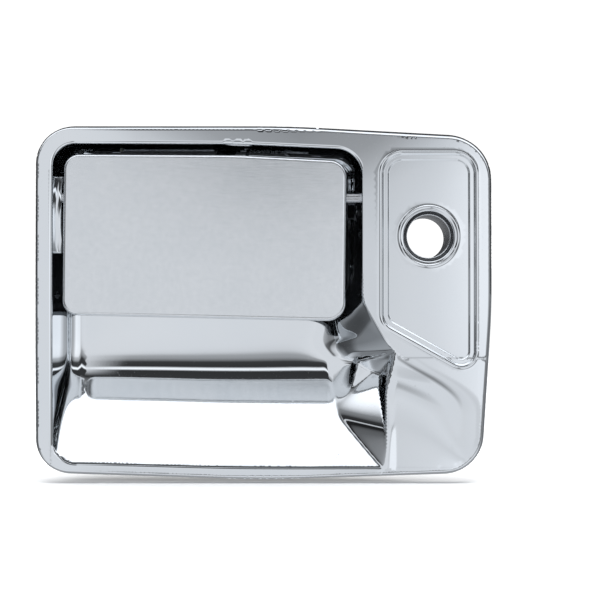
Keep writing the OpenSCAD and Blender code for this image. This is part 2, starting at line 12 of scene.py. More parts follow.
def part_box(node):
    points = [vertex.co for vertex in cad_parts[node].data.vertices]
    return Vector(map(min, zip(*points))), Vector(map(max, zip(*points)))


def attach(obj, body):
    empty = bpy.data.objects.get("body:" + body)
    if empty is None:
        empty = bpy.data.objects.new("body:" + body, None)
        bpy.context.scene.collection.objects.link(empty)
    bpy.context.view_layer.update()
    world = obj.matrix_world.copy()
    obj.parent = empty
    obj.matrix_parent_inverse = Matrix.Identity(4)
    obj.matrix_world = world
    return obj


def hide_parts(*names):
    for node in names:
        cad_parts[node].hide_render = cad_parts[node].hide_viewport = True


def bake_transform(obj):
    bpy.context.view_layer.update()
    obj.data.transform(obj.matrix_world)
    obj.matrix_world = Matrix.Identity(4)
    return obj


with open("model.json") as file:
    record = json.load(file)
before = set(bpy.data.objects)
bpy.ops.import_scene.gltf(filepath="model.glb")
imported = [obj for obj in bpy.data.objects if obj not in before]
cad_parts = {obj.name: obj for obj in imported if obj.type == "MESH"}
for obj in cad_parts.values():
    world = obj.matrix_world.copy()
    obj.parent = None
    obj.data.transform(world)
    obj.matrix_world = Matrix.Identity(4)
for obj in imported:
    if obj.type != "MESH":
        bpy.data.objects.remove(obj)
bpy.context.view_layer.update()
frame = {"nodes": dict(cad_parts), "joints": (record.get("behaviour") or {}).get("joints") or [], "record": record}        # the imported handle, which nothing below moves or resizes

mm = 0.001
scene = bpy.context.scene
nodes = frame["nodes"]
joints = {joint["name"]: joint for joint in frame["joints"]}

# places that several pieces share, in millimetres from the middle of the bezel's face
bezelLow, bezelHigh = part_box("bezel")
halfHeight = 73.5
middle = Vector(((bezelLow.x + bezelHigh.x) / 2, 0, bezelHigh.z - halfHeight * mm))
faceY = bezelLow.y / mm
halfWidth = (bezelHigh.x - bezelLow.x) / 2 / mm
crownRadius = 1400       # the face bows out from top to bottom
hinge = Vector(joints["paddle_hinge"]["pos_m"])
hingeUp = (hinge.z - middle.z) / mm
hingeY = hinge.y / mm
lockAt = ((0 - middle.x) / mm, (0 - middle.z) / mm)


# ---- camera -------------------------------------------------------------------------

view = {"across": 15, "up": 1.25, "distance": 600, "lens": 87.9}

cameraData = bpy.data.cameras.new("camera")
cameraData.sensor_width = 36
cameraData.lens = view["lens"]
cameraData.clip_start = 0.02
camera = bpy.data.objects.new("camera", cameraData)
camera.location = middle + Vector((view["across"], faceY - view["distance"], view["up"])) * mm
camera.rotation_euler = (math.radians(90), 0, 0)
scene.collection.objects.link(camera)
scene.camera = camera


# ---- shader nodes -------------------------------------------------------------------

class Sock:              # a node's output socket, which takes part in sums
    def __init__(self, tree, socket):
        self.tree, self.socket = tree, socket

    def add(self, kind, settings=None, values=None, output=0):
        made = self.tree.nodes.new(kind)
        for name, value in (settings or {}).items():
            if name == "stops":          # a colour ramp's places and greys or colours
                ramp = made.color_ramp.elements
                while len(ramp) < len(value):
                    ramp.new(0.5)
                for stop, (place, colour) in zip(ramp, value):
                    stop.position, stop.color = place, (*colour, 1)
            else:
                setattr(made, name, value)
        for name, value in (values or {}).items():
            if isinstance(value, Sock):
                self.tree.links.new(value.socket, made.inputs[name])
            else:
                made.inputs[name].default_value = value
        return Sock(self.tree, made.outputs[output])

    def sum(self, operation, a, b):
        return self.add("ShaderNodeMath", {"operation": operation}, {0: a, 1: b})

    def __add__(self, other):
        return self.sum("ADD", self, other)

    def __sub__(self, other):
        return self.sum("SUBTRACT", self, other)

    def __rsub__(self, other):
        return self.sum("SUBTRACT", other, self)

    def __mul__(self, other):
        return self.sum("MULTIPLY", self, other)

    __radd__ = __add__
    __rmul__ = __mul__


def noise(place, scale, detail=3, roughness=0.5, stretch=(1, 1, 1)):
    turned = place.add("ShaderNodeMapping", None, {"Vector": place, "Scale": stretch})
    return place.add("ShaderNodeTexNoise", None,
                     {"Vector": turned, "Scale": scale, "Detail": detail, "Roughness": roughness})


def between(mask, low, high):            # mask's middle band, spread over 0 to 1
    return mask.add("ShaderNodeMapRange", {"clamp": True},
                    {"Value": mask, "From Min": low, "From Max": high})


def mixed(factor, a, b):
    return factor.add("ShaderNodeMix", {"data_type": "RGBA"},
                      {0: factor, 6: (*a, 1) if isinstance(a, tuple) else a,
                       7: (*b, 1) if isinstance(b, tuple) else b}, output=2)


def bumped(height, strength, distance):
    return height.add("ShaderNodeBump", None,
                      {"Height": height, "Strength": strength, "Distance": distance})


def newMaterial(name, fixed):            # fixed holds what is the same all over the surface
    material = bpy.data.materials.new(name)
    material.use_nodes = True
    tree = material.node_tree
    shader = tree.nodes["Principled BSDF"]
    for socket, value in fixed.items():
        shader.inputs[socket].default_value = value
    place = Sock(tree, tree.nodes.new("ShaderNodeTexCoord").outputs["Object"])

    def plug(**links):
        for socket, value in links.items():
            tree.links.new(value.socket, shader.inputs[socket.replace("_", " ")])
    return material, place, plug


def brightChrome():
    material, place, plug = newMaterial("bright_chrome", {"Metallic": 1})
    haze = noise(place, 38, 4)
    specks = between(noise(place, 900, 2), 0.66, 0.74)
    wave = noise(place, 22, 1) + noise(place, 900, 2) * 0.012
    plug(Base_Color=mixed(haze, (0.83, 0.865, 0.895), (0.89, 0.905, 0.92)),
         Roughness=haze * 0.03 + specks * 0.08 + 0.012,
         Normal=bumped(wave, 0.05, 0.0012))
    return material


def satinChrome():
    material, place, plug = newMaterial("satin_chrome", {"Metallic": 1})
    cloud = noise(place, 55, 5, 0.6)
    grain = noise(place, 1500, 3, 0.6, (0.12, 1, 1))
    mottle = noise(place, 420, 4, 0.65)
    depth = place.add("ShaderNodeSeparateXYZ", None, {0: place}, output=1)
    shadeAndDullBehindFace = between(depth, (faceY + 4.4) * mm, (faceY + 6.4) * mm)       # painted shade: the colour turns dark well behind the face, where the paddle's sides sit in the shadowed gap; also rougher there
    patches = between(cloud * 0.5 + mottle * 0.5, 0.32, 0.68)
    plated = mixed(patches, (0.80, 0.825, 0.845), (0.885, 0.90, 0.915))
    # the base colour is darkened behind the face as painted shade of the gap, not as a real change of plating
    plug(Base_Color=mixed(shadeAndDullBehindFace, plated, (0.34, 0.355, 0.37)),
         Roughness=cloud * 0.05 + grain * 0.07 + shadeAndDullBehindFace * 0.25 + 0.155,
         Normal=bumped(grain + mottle * 0.7, 0.16, 0.00008))
    return material


def blackNylon():
    material, place, plug = newMaterial("black_nylon", {"Specular IOR Level": 0.45})
    grain = noise(place, 1900, 3, 0.6)
    flow = noise(place, 45, 3, 0.5, (1, 1, 0.25))
    plug(Base_Color=mixed(flow, (0.016, 0.017, 0.019), (0.038, 0.039, 0.042)),
         Roughness=between(flow, 0.2, 0.8) * 0.16 + 0.42,
         Normal=bumped(grain, 0.35, 0.00006))
    return material


def foamRubber():
    material, place, plug = newMaterial("foam_rubber", {"Specular IOR Level": 0.3})
    cells = place.add("ShaderNodeTexVoronoi", None, {"Vector": place, "Scale": 2400})
    dust = noise(place, 160, 4)
    plug(Base_Color=mixed(dust, (0.012, 0.012, 0.013), (0.045, 0.044, 0.043)),
         Roughness=dust * 0.15 + 0.78,
         Normal=bumped(cells, 0.5, 0.0001))
    return material


def bareZinc():
    material, place, plug = newMaterial("bare_zinc", {"Metallic": 1})
    skin = noise(place, 700, 5, 0.7)
    stain = noise(place, 60, 4)
    plug(Base_Color=mixed(between(stain, 0.3, 0.7), (0.42, 0.43, 0.45), (0.60, 0.605, 0.61)),
         Roughness=skin * 0.18 + 0.36,
         Normal=bumped(skin, 0.4, 0.00008))
    return material


def platedSteel():
    material, place, plug = newMaterial("plated_steel", {"Metallic": 1})
    cast = noise(place, 95, 3, 0.6)
    scratch = noise(place, 800, 3, 0.6, (1, 1, 0.15))
    film = cast.add("ShaderNodeValToRGB", {"stops": [
        (0.30, (0.66, 0.60, 0.32)), (0.46, (0.80, 0.66, 0.34)),
        (0.56, (0.74, 0.56, 0.42)), (0.70, (0.56, 0.64, 0.44))]}, {"Fac": cast})
    plug(Base_Color=film, Roughness=scratch * 0.16 + 0.24, Normal=bumped(scratch, 0.2, 0.00005))
    return material


def turnedMetal(name, dark, light, rough):
    material, place, plug = newMaterial(name, {"Metallic": 1})
    lines = noise(place, 1300, 2, 0.5, (0.2, 1, 1))
    wear = noise(place, 150, 4)
    plug(Base_Color=mixed(wear, dark, light),
         Roughness=lines * 0.14 + rough,
         Normal=bumped(lines, 0.18, 0.00004))
    return material


def acetal():
    material, place, plug = newMaterial("acetal", {"Specular IOR Level": 0.5, "Subsurface Weight": 0.15,
                                                   "Subsurface Radius": (0.003, 0.002, 0.0015)})
    flow = noise(place, 130, 3)
    grain = noise(place, 1700, 2)
    plug(Base_Color=mixed(flow, (0.76, 0.73, 0.65), (0.86, 0.84, 0.78)),
         Roughness=flow * 0.12 + 0.30,
         Normal=bumped(grain, 0.2, 0.00004))
    return material


finishes = {
    "bright_chrome": brightChrome(), "satin_chrome": satinChrome(), "black_nylon": blackNylon(),
    "foam_rubber": foamRubber(), "bare_zinc": bareZinc(), "plated_steel": platedSteel(), "acetal": acetal(),
    "bright_steel": turnedMetal("bright_steel", (0.52, 0.53, 0.55), (0.70, 0.71, 0.72), 0.20),
    "spring_steel": turnedMetal("spring_steel", (0.14, 0.14, 0.15), (0.30, 0.30, 0.31), 0.28)}

for part in frame["record"]["subparts"]:
    mesh = nodes[part["node"]].data
    mesh.materials.clear()
    mesh.materials.append(finishes[part["material_slot"]])
print("materials done")


# ---- plan outlines and soft sums ----------------------------------------------------

class Outline:           # straight sides with round corners, anticlockwise, corner = (across, up, radius)
    def __init__(self, corners):
        self.lines, self.arcs = [], []
        ends = []
        for i, corner in enumerate(corners):
            before, at, after = (np.array(corners[j][:2], float) for j in (i - 1, i, (i + 1) % len(corners)))
            back, on = (before - at) / np.linalg.norm(before - at), (after - at) / np.linalg.norm(after - at)
            half = math.acos(np.clip(back @ on, -1, 1)) / 2
            reach = corner[2] / math.tan(half)
            inward = (back + on) / np.linalg.norm(back + on)
            centre = at + inward * corner[2] / math.sin(half)
            first, last = at + back * reach, at + on * reach
            self.arcs.append((centre, corner[2], *(math.atan2(*(p - centre)[::-1]) for p in (first, last))))
            ends.append((first, last))
        for i in range(len(ends)):
            self.lines.append((ends[i][1], ends[(i + 1) % len(ends)][0]))

    def ring(self, inset, step, turn=5):     # points along the outline, moved inwards by inset
        points = []
        for (centre, radius, start, end), (a, b) in zip(self.arcs, self.lines):
            sweep = (end - start) % (2 * math.pi)
            count = max(2, int(max(sweep / math.radians(turn), sweep * radius / step / 2)))
            for i in range(count + 1):
                angle = start + sweep * i / count
                points.append(centre + (radius - inset) * np.array((math.cos(angle), math.sin(angle))))
            along = (b - a) / max(np.linalg.norm(b - a), 1e-9)
            side = np.array((-along[1], along[0])) * inset
            count = max(1, int(np.linalg.norm(b - a) / step))
            points.extend(a + (b - a) * i / count + side for i in range(1, count))
        return np.array(points)

    def inside(self, x, z):                  # distance inwards from the outline, negative outside
        best = np.full(np.shape(x), 1e9)
        for a, b in self.lines:
            d = b - a
            t = np.clip(((x - a[0]) * d[0] + (z - a[1]) * d[1]) / (d @ d), 0, 1)
            best = np.minimum(best, np.hypot(x - a[0] - t * d[0], z - a[1] - t * d[1]))
        for centre, radius, start, end in self.arcs:
            angle = np.arctan2(z - centre[1], x - centre[0])
            on = (angle - start) % (2 * math.pi) <= (end - start) % (2 * math.pi)
            best = np.where(on, np.minimum(best, abs(np.hypot(x - centre[0], z - centre[1]) - radius)), best)
        loop = self.ring(0, 3)
        a, b = loop, np.roll(loop, -1, 0)
        odd = np.zeros(np.shape(x), bool)
        for p, q in zip(a, b):
            if p[1] != q[1]:
                crosses = ((p[1] > z) != (q[1] > z)) & (x < (q[0] - p[0]) * (z - p[1]) / (q[1] - p[1]) + p[0])
                odd ^= crosses
        return np.where(odd, best, -best)


def softRise(d, soft):                   # 0 below zero, d above it, eased over soft
    reach = 2 * soft
    return np.where(d > reach, d, np.maximum(d + reach, 0) ** 2 / (4 * reach))


def softStep(d, low, high):
    t = np.clip((d - low) / (high - low), 0, 1)
    return t * t * t * (t * (6 * t - 15) + 10)


def softLeast(power, *depths):           # the shallowest of some depths, with a fillet between them
    return sum(np.maximum(d, 1e-5) ** -power for d in depths) ** (-1 / power)


def softMost(reach, a, b):               # the deeper of two depths, eased over reach
    return (a + b + np.sqrt((a - b) ** 2 + reach ** 2)) / 2 - reach / 2


def softMean(reach, a, b):               # the shallower of two depths, eased over reach
    return -softMost(reach, -a, -b)


def crown(up):
    return crownRadius - np.sqrt(crownRadius ** 2 - up ** 2)


def edgeRoll(d, width, depth, foot, total):    # a shell's outer edge: a roll, then a drafted side
    u = np.clip((width + foot - d) / width, 0, 1)
    roll = depth * (1 - np.sqrt(1 - u * u))
    return np.where(d < foot, depth + (total - depth) * np.clip(1 - d / foot, 0, 1), roll)


# ---- shells: a plan of points lifted to their depth, with a wall behind -------------------

def shell(name, boundary, holes, points, surfaceY, wall, keep):
    loops = [boundary] + holes
    free = points[keep(points[:, 0], points[:, 1])]
    plan = np.concatenate(loops + [free])
    edges, start = [], 0
    for loop in loops:
        edges += [(start + i, start + (i + 1) % len(loop)) for i in range(len(loop))]
        start += len(loop)
    found, _, faces, *_ = delaunay_2d_cdt([Vector(p) for p in plan], edges, [], 1, 1e-4)
    found = np.array([tuple(p) for p in found])
    centres = np.array([found[list(f)].mean(0) for f in faces])
    solid = np.ones(len(faces), bool)
    for hole in holes:
        centre, reach = hole.mean(0), np.ptp(hole, 0) / 2
        if len(hole) > 20:               # a round hole
            solid &= np.hypot(*(centres - centre).T) > reach[0] * 0.999
        else:
            solid &= ~((abs(centres - centre) < reach).all(1))
    faces = [f for f, ok in zip(faces, solid) if ok]
    x, z = found.T
    h = 0.01
    y = surfaceY(x, z)
    normals = np.stack([(surfaceY(x + h, z) - surfaceY(x - h, z)) / (2 * h), -np.ones(len(x)),
                        (surfaceY(x, z + h) - surfaceY(x, z - h)) / (2 * h)], 1)
    normals /= np.linalg.norm(normals, axis=1)[:, None]

    bm = bmesh.new()
    front = [bm.verts.new(middle + Vector((x[i], y[i], z[i])) * mm) for i in range(len(x))]
    made = [bm.faces.new([front[i] for i in f]) for f in faces]
    bmesh.ops.delete(bm, geom=[v for v in bm.verts if not v.link_faces], context="VERTS")
    bm.verts.index_update()
    order = {v: i for i, v in enumerate(front) if v.is_valid}
    rims = [e for e in bm.edges if e.is_boundary]
    copied = bmesh.ops.duplicate(bm, geom=bm.verts[:] + bm.edges[:] + made)
    twin = copied["vert_map"]
    rear = [f for f in copied["geom"] if isinstance(f, bmesh.types.BMFace)]
    for v, i in order.items():           # the inner wall, square to the face
        twin[v].co = v.co - Vector(normals[i]) * wall * mm
    bmesh.ops.reverse_faces(bm, faces=rear)
    for e in rims:
        loop = e.link_loops[0]
        a, b = loop.vert, loop.link_loop_next.vert
        bm.faces.new((b, a, twin[a], twin[b]))
    back = {twin[v]: i for v, i in order.items()}
    shades = []
    for f in bm.faces:
        own = all(v in order for v in f.verts)
        other = all(v in back for v in f.verts)
        f.smooth = True
        f.normal_update()
        for v in f.verts:
            shades.append(normals[order[v]] if own else -normals[back[v]] if other else f.normal[:])
    mesh = bpy.data.meshes.new(name)
    bm.to_mesh(mesh)
    bm.free()
    mesh.normals_split_custom_set([tuple(n) for n in shades])
    piece = bpy.data.objects.new(name, mesh)
    scene.collection.objects.link(piece)
    print(name, len(mesh.polygons), "faces")
    return piece


def finish(piece, slot, body, *replaced):
    piece.data.materials.clear()
    piece.data.materials.append(finishes[slot])
    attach(piece, body)
    if replaced:
        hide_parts(*replaced)
    return piece


def grid(left, right, low, high, step):      # rows shifted by half a step, for even triangles
    rows = []
    for k, up in enumerate(np.arange(low, high, step * 0.87)):
        across = np.arange(left + (k % 2) * step / 2, right, step)
        rows.append(np.stack([across, np.full(len(across), up)], 1))
    return np.concatenate(rows)


# ---- bezel --------------------------------------------------------------------------

bezel = {
    "wall": 1.0, "rimDepth": 4.2, "rimFoot": 0.5, "rimNarrow": 1.7, "rimWide": 2.2,
    "mouthLeft": 8.0, "mouthTop": 8.0, "mouthRight": 134.8, "mouthBottom": 5.0,
    "depth": 30, "wallSlope": 8, "roll": 1.5, "fillet": 6, "rampSlope": 0.70,
    "panelDepth": 1.6, "panelBand": 3.2, "funnel": 11.5, "funnelDepth": 2.9, "hole": 8.95}

scoop = {"tip": (32, -47.8), "tipDepth": 14.1, "across": -0.55, "up": 0.216, "turn": 0.384,
         "dishSlope": 0.15, "dishFoot": 0.13, "lip": 50.2, "lipSlope": 5, "spare": 1.6}

mouthL = -halfWidth + bezel["mouthLeft"]
mouthR = -halfWidth + bezel["mouthRight"]
mouthT = halfHeight - bezel["mouthTop"]
mouthB = -halfHeight + bezel["mouthBottom"]

rim = Outline([(-halfWidth, -halfHeight + 3, 15), (0, -halfHeight, 500), (halfWidth - 4, -halfHeight + 3, 17),
               (halfWidth, -3, 300), (halfWidth, halfHeight - 4.5, 19), (halfWidth / 9, halfHeight, 500),
               (-halfWidth, halfHeight, 16)])
mouth = Outline([(mouthL, -140, 3), (mouthR + 0.5, -140, 3), (mouthR, mouthT - 2.6, 11),
                 (mouthL + 76, mouthT - 0.3, 300), (mouthL, mouthT, 9)])
panelR, panelL, panelT = halfWidth - 7.3, halfWidth - 45.9, halfHeight - 11.9
panel = Outline([(panelL, lockAt[1] - 36, 7), (panelR, lockAt[1] - 57.5, 6),
                 (panelR, panelT, 8.5), (panelL, panelT, 8.5)])
slotX = (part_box("tail_pad")[0].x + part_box("tail_pad")[1].x) / 2 / mm - middle.x / mm
slotHalf, slotTop, slotFoot = 6.5, hingeUp + 6, hingeUp - 23


def wallDepth(d):        # roll at the mouth, straight wall, fillet into the back wall
    lean = math.atan(bezel["wallSlope"])
    roll, fillet, deep = bezel["roll"], bezel["fillet"], bezel["depth"]
    rollEnd, rollDrop = roll * math.sin(lean), roll * (1 - math.cos(lean))
    filletDrop = fillet * (1 - math.cos(lean))
    straight = (deep - rollDrop - filletDrop) / bezel["wallSlope"]
    u = d + rollEnd
    rolled = roll - np.sqrt(np.maximum(roll ** 2 - np.clip(u, 0, rollEnd) ** 2, 0))
    wall = rollDrop + bezel["wallSlope"] * d
    left = np.clip(straight + fillet * math.sin(lean) - d, 0, fillet * math.sin(lean))
    filleted = deep - fillet + np.sqrt(np.maximum(fillet ** 2 - left ** 2, 0))
    return np.where(d < 0, rolled, np.where(d < straight, wall, filleted))


def flareEdge(up):       # where the bucket's right side leaves the face, widening into the thumb scoop
    return (mouthR + 0.593 * softRise(1.2 - up, 2.0) + 1.27 * softRise(-21 - up, 3.5)
            - 1.9 * softRise(-38.5 - up, 4.0))


def flareSlope(up):      # steep beside the paddle, easier lower down
    return 1.05 + 0.5 / (1 + np.exp(-(up + 13) / 3)) + 6.4 / (1 + np.exp(-(up - 3) / 3))


behind = {"left": 20, "right": 97, "low": -78, "high": 14, "open": 40.0}       # where the frame is measured


def measureFrame():      # how deep the base frame's front lies behind the scoop, on a 1 mm grid
    solid = BVHTree.FromObject(nodes["base_frame"], bpy.context.evaluated_depsgraph_get())
    across, up = np.arange(behind["left"], behind["right"]), np.arange(behind["low"], behind["high"])
    depths = np.full((len(across), len(up)), behind["open"])
    for i, x in enumerate(across):
        for j, z in enumerate(up):
            hit = solid.ray_cast(middle + Vector((float(x), -behind["open"], float(z))) * mm, Vector((0, 1, 0)))[0]
            if hit:
                depths[i, j] = hit.y / mm - faceY
    return across[0], up[0], depths


frameDepths = measureFrame()


def frameRoom(x, z):     # the deepest the shell may go, as a smooth spline through the grid
    x0, z0, depths = frameDepths
    u, v = np.clip(x - x0, 1, depths.shape[0] - 3.01), np.clip(z - z0, 1, depths.shape[1] - 3.01)
    i, j = u.astype(int), v.astype(int)

    def weights(t):
        return ((1 - t) ** 3 / 6, (3 * t ** 3 - 6 * t ** 2 + 4) / 6,
                (-3 * t ** 3 + 3 * t ** 2 + 3 * t + 1) / 6, t ** 3 / 6)
    wu, wv = weights(u - i), weights(v - j)
    room = sum(wu[a] * wv[b] * depths[i + a - 1, j + b - 1] for a in range(4) for b in range(4))
    return room - scoop["spare"] + behind["open"] * (softStep(30 - x, 0, 4) + softStep(z, 0, 5))


def scoopDepth(x, z, foot):
    dx, dz = x - scoop["tip"][0], z - scoop["tip"][1]
    depth, across, up, turn = scoop["tipDepth"], scoop["across"], scoop["up"], scoop["turn"]
    bank = depth + across * dx + up * dz                 # beside the ramp's lower end
    pocket = bank + turn * (dz + 0.2 * dx)               # above it
    side = scoop["dishSlope"] * softRise(flareEdge(z) - x, 3.0)
    base = scoop["dishFoot"] * softRise(z - foot, 1.6)
    brow = 0.45 * softRise(-21.5 - z - 0.52 * (x - 54.8), 2.0)
    dish = softLeast(3, side, base, brow)
    lip = dish + scoop["lipSlope"] * softRise(scoop["lip"] + 0.25 * softRise(z + 36, 1.5) - x, 0.35)
    hollow = softMost(0.6, softMean(0.6, softMost(0.8, pocket, bank), lip), dish)
    past = softStep(x, scoop["lip"] + 0.5, scoop["lip"] + 5)
    return hollow * (1 - past) + dish * past


def bucketDepth(x, z):
    walls = wallDepth(mouth.inside(x, np.maximum(z, -100)))
    below = np.minimum(mouthT - 2.6 + 0.02 * (mouthR - x) - z, 60)     # down from the mouth's top edge
    sides = np.where(x > mouthR - 16, wallDepth(below), walls)
    upper = softStep(z, -2, 14)
    right = flareSlope(z) * softRise(flareEdge(z) - x, 0.28)
    curl = np.clip((mouthL + 10 - x) / 10, 0, 1)         # the opening's lower left corner
    foot = mouthB + 2.0 - 1.44 * softStep(x, -90, 10) + 9 * (1 - np.sqrt(1 - 0.98 * curl ** 2))
    ramp = bezel["rampSlope"] * softRise(z - foot, 0.45)
    corner = walls * upper + sides * (1 - upper)
    bowl = scoopDepth(x, z, foot)
    right = right + 30 * softStep(-z, 22, 32)            # the flare's wall ends above the scoop
    floor = softMean(0.4, ramp, bowl)
    depth = softLeast(9, corner, right, floor, np.full(np.shape(x), float(bezel["depth"])))
    return softMean(0.5, depth, frameRoom(x, z))


def panelStep(x, z):
    d = panel.inside(x, z)
    half = bezel["panelDepth"] / 2
    ridge = 0.35 * np.exp(-((d + 0.5) / 0.55) ** 2)
    band = softStep(d, 0, 1.0) + softStep(d, bezel["panelBand"] - 1.0, bezel["panelBand"])
    return half * band - ridge


def lockFunnel(x, z):
    r = np.hypot(x - lockAt[0], z - lockAt[1])
    lip = 0.45 * np.exp(-((r - bezel["funnel"] - 0.7) / 0.6) ** 2)
    return bezel["funnelDepth"] * softStep(-r, -bezel["funnel"], -bezel["hole"] + 0.4) ** 1.6 - lip


def bezelY(x, z):
    d = rim.inside(x, z)
    width = bezel["rimNarrow"] + (bezel["rimWide"] - bezel["rimNarrow"]) * softStep(x + 0.35 * z, 10, 92)
    sag = crown(z)
    edge = edgeRoll(d, width, bezel["rimDepth"], bezel["rimFoot"], -faceY - sag)
    return np.minimum(faceY + sag + edge + bucketDepth(x, z) + panelStep(x, z) + lockFunnel(x, z), 90)


def buildBezel():
    rimRings = [rim.ring(d, 1.6) for d in (
        0.12, 0.3, 0.5, 0.52, 0.58, 0.7, 0.9, 1.2, 1.6, 2.1, 2.7, 3.4, 4.2, 5.0, 5.8)]
    wallRings = [mouth.ring(d, 1.6) for d in (
        -1.7, -1.49, -1.35, -1.1, -0.85, -0.6, -0.4, -0.22, -0.1, 0, 0.3, 0.7, 1.1, 1.5, 1.9, 2.3, 2.7, 2.85,
        3.0, 3.2, 3.5, 4.0, 4.7, 5.6, 6.8, 8.2)]
    panelRings = [panel.ring(d, 1.4) for d in (
        -1.6, -1.2, -0.8, -0.5, -0.2, 0, 0.25, 0.5, 0.75, 1, 1.5, 2.2, 2.45, 2.7, 2.95, 3.2, 3.9)]
    turn = np.linspace(0, 2 * math.pi, 97)[:-1]
    circle = np.stack([np.cos(turn), np.sin(turn)], 1)
    lockRings = [np.array(lockAt) + circle * r for r in (
        9.1, 9.3, 9.55, 9.8, 10.1, 10.4, 10.7, 11, 11.3, 11.6, 11.9, 12.2, 12.5, 12.9, 13.5)]
    wall = np.concatenate(wallRings)
    wall = wall[(wall[:, 1] > mouthB - 1) & ((wall[:, 0] < 0) | (wall[:, 1] > -2))]
    across = np.arange(mouthL + 2, 86, 1.2)
    foot = np.concatenate([np.stack([across, np.full(len(across), mouthB + up)], 1) for up in (
        -2.2, -1.6, -1.1, -0.7, -0.3, 0.1, 0.5, 0.9, 1.3, 1.8, 2.4, 3.2)])
    plain = grid(-halfWidth, halfWidth, -halfHeight, halfHeight, 1.7)
    d = mouth.inside(plain[:, 0], np.maximum(plain[:, 1], -100))
    fine = (plain[:, 0] > 22) & (plain[:, 1] < 12)
    plain = plain[~fine & ((d < -2.4) | (d > 9.5) | (plain[:, 1] < mouthB))]
    p = panel.inside(*plain.T)
    plain = plain[((p < -2.3) | (p > 4.6)) & (np.hypot(*(plain - np.array(lockAt)).T) > 14.2)]
    dense = grid(22, halfWidth - 4, -halfHeight + 3, 12, 0.85)
    p = panel.inside(*dense.T)
    dense = dense[(p < -2) & (dense[:, 0] < 90)]
    points = np.concatenate(rimRings + [wall] + panelRings + lockRings + [foot, plain, dense])
    slotHole = np.array([(slotX - slotHalf, slotFoot), (slotX + slotHalf, slotFoot),
                         (slotX + slotHalf, slotTop), (slotX - slotHalf, slotTop)])

    def keep(x, z):
        clearOfSlot = (abs(x - slotX) > slotHalf + 0.4) | (z > slotTop + 0.4) | (z < slotFoot - 0.4)
        clearOfLock = np.hypot(x - lockAt[0], z - lockAt[1]) > bezel["hole"] + 0.08
        return (rim.inside(x, z) > 0.06) & clearOfSlot & clearOfLock
    piece = shell("bezel_casting", rim.ring(0, 1.6), [np.array(lockAt) + circle * bezel["hole"], slotHole],
                  points, bezelY, bezel["wall"], keep)
    return finish(piece, "bright_chrome", "root", "bezel")


buildBezel()


def buildHingeLug():     # the cheek on the bucket's left wall that carries the hinge pin
    lug = {"front": hingeY - 3.4, "rear": hingeY + 7, "low": hingeUp - 23, "high": hingeUp + 9, "thick": 3.2,
           "gap": 0.6, "edge": 0.7}
    right = (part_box("paddle_skin")[0].x - middle.x) / mm - lug["gap"]
    bm = bmesh.new()
    bmesh.ops.create_cube(bm, size=1)
    bmesh.ops.subdivide_edges(bm, edges=[e for e in bm.edges if abs((e.verts[0].co - e.verts[1].co).z) > 0.5],
                              cuts=5, use_grid_fill=True)
    for v in bm.verts:
        taper = 1 - 0.75 * float(softStep(v.co.z, 0.15, 0.5)) - 0.25 * float(softStep(-v.co.z, 0.3, 0.5))
        y = (lug["front"] + lug["rear"]) / 2 + v.co.y * (lug["rear"] - lug["front"]) * taper
        z = (lug["low"] + lug["high"]) / 2 + v.co.z * (lug["high"] - lug["low"])
        v.co = middle + Vector((right - lug["thick"] / 2 + v.co.x * lug["thick"], y, z)) * mm
    sharp = [e for e in bm.edges if e.calc_face_angle(0) > 0.9]
    bmesh.ops.bevel(bm, geom=sharp, offset=lug["edge"] * mm, segments=4, profile=0.5, affect="EDGES", material=-1)
    for f in bm.faces:
        f.smooth = True
    mesh = bpy.data.meshes.new("hinge_lug")
    bm.to_mesh(mesh)
    bm.free()
    piece = bpy.data.objects.new("hinge_lug", mesh)
    scene.collection.objects.link(piece)
    return finish(piece, "bright_chrome", "root")


buildHingeLug()


# ---- paddle skin ----------------------------------------------------------------------

paddle = {"roll": 1.5, "rollDepth": 1.9, "foot": 0.22, "wall": 1.5, "proud": 0.5, "crownAcross": 2600}
skinLow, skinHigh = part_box("paddle_skin")
paddleL, paddleR = (skinLow.x - middle.x) / mm + 0.6, (skinHigh.x - middle.x) / mm
paddleB, paddleT = (skinLow.z - middle.z) / mm + 1.2, (skinHigh.z - middle.z) / mm
paddleRear = skinHigh.y / mm
paddleEdge = Outline([(paddleL - 0.6, paddleB + 1.3, 6.5), (paddleR - 0.8, paddleB - 1.3, 7.5),
                      (paddleR, paddleT - 2.8, 7.5), (paddleL + 70, paddleT - 0.4, 300),
                      (paddleL, paddleT, 6.5)])


def paddleY(x, z):
    front = faceY - paddle["proud"] + crown(z) + (x + 24) ** 2 / 2 / paddle["crownAcross"] * 0.4
    total = np.maximum(paddleRear - front, 2)
    inset = paddleEdge.inside(x, z)
    return front + edgeRoll(inset, paddle["roll"], paddle["rollDepth"], paddle["foot"], total)


def buildPaddle():
    rings = [paddleEdge.ring(d, 1.3) for d in (
        0.05, 0.1, 0.16, 0.22, 0.23, 0.26, 0.32, 0.42, 0.56, 0.74, 0.95, 1.2, 1.45, 1.72, 2.2, 3, 4.2)]
    plain = grid(paddleL, paddleR, paddleB, paddleT, 1.8)
    plain = plain[paddleEdge.inside(*plain.T) > 5]

    def keep(x, z):
        return paddleEdge.inside(x, z) > 0.02
    piece = shell("paddle_plate", paddleEdge.ring(0, 1.3), [], np.concatenate(rings + [plain]), paddleY,
                  paddle["wall"], keep)
    return finish(piece, "satin_chrome", "paddle", "paddle_skin")


buildPaddle()
print("shells done")


# ---- springs, as round wire -------------------------------------------------------------

